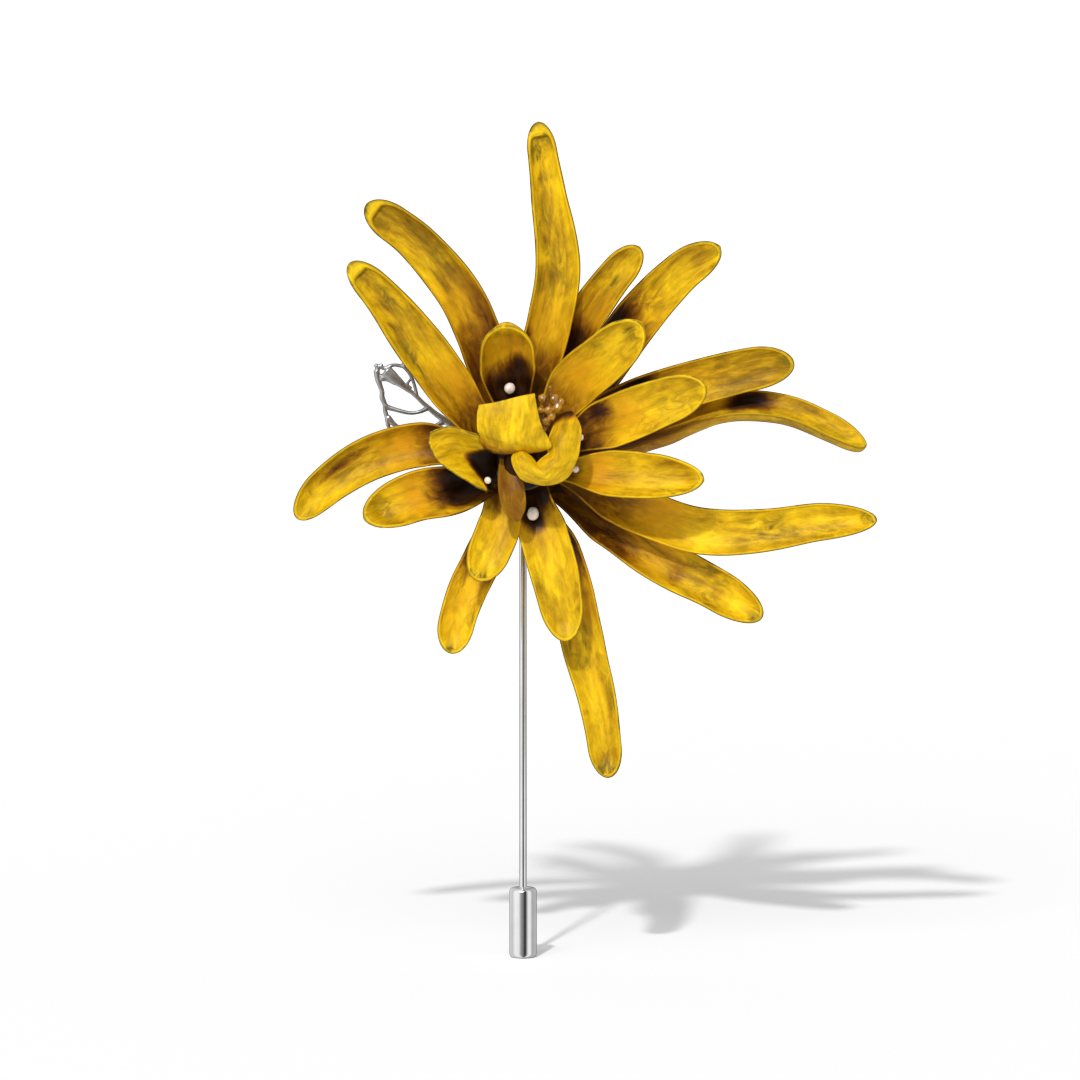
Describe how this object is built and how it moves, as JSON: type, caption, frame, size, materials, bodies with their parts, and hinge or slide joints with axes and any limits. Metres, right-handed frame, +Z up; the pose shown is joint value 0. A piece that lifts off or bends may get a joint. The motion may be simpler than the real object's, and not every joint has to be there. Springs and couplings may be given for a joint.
{
  "type": "lapel stick pin",
  "caption": "Lapel stick pin with a hand-painted metal chrysanthemum of trough-shaped petals, pearl beads and a silver leaf, a straight wire and a push-on clutch.",
  "frame": {"origin": "centre of the back plate's flat rear face, which lies against the lapel", "axes": "+Z up along the wire towards the flower, +Y into the lapel, -Y towards the viewer, +X to the viewer's right"},
  "size_m": [0.0832, 0.0235, 0.1209],
  "materials": {
    "yellow_paint": "glossy yellow enamel, brushed by hand with olive and brown streaks, near-black in the roots",
    "dark_paint": "dark brown enamel, glossy",
    "silver_metal": "bright cast metal with dark recesses",
    "chrome_steel": "polished chrome plate",
    "gold_brass": "glossy old gold",
    "pearl": "imitation pearl lacquer",
    "silicone_grip": "milky silicone, satin"
  },
  "bodies": {
    "pin": {"back_plate": "silver_metal", "heart": "yellow_paint", "inner_petal_01": "yellow_paint", "inner_petal_02": "yellow_paint", "inner_petal_03": "yellow_paint", "inner_petal_04": "yellow_paint", "inner_petal_05": "yellow_paint", "inner_petal_06": "yellow_paint", "inner_petal_07": "yellow_paint", "openwork_leaf": "silver_metal", "outer_petal_01": "yellow_paint", "outer_petal_02": "yellow_paint", "outer_petal_03": "yellow_paint", "outer_petal_04": "yellow_paint", "outer_petal_05": "yellow_paint", "outer_petal_06": "yellow_paint", "outer_petal_07": "yellow_paint", "outer_petal_08": "yellow_paint", "outer_petal_09": "yellow_paint", "outer_petal_10": "yellow_paint", "outer_petal_11": "yellow_paint", "outer_petal_12": "yellow_paint", "pearl_bead_1": "pearl", "pearl_bead_2": "pearl", "pearl_bead_3": "pearl", "pearl_bead_4": "pearl", "pearl_bead_5": "pearl", "petal_boss": "dark_paint", "pin_wire": "chrome_steel", "stamens": "gold_brass"},
    "clutch": {"clutch_barrel": "chrome_steel", "clutch_grip": "silicone_grip"}
  },
  "joints": [
    {"name": "clutch_slide", "type": "slide", "parent": "pin", "child": "clutch", "axis": [0, 0, -1], "range_m": [0, 0.008]}
  ]
}
